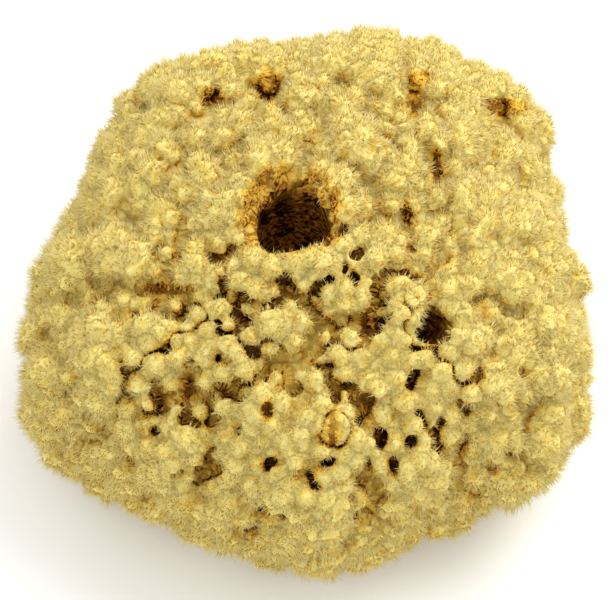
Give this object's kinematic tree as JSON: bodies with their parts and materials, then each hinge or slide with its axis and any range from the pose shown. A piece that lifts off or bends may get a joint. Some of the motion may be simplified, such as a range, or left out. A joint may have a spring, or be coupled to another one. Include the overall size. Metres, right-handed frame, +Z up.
{
  "type": "sea sponge",
  "caption": "Domed, lumpy bath sponge of soft yellow fibre, with a great round opening on its crown, a smaller one beside it, many dark pits and a flat trimmed underside.",
  "frame": {"origin": "middle of the flat trimmed underside, which rests on the ground", "axes": "+Z up through the dome, -Y towards the side that the face with the openings leans to, +X to the right of that side"},
  "size_m": [0.1463, 0.148, 0.0898],
  "materials": {
    "sponge_fibre": "dry, matt, straw-yellow tufts of fine fibre that darken to ochre and brown in the hollows"
  },
  "bodies": {
    "root": {"sponge": "sponge_fibre"}
  },
  "joints": []
}
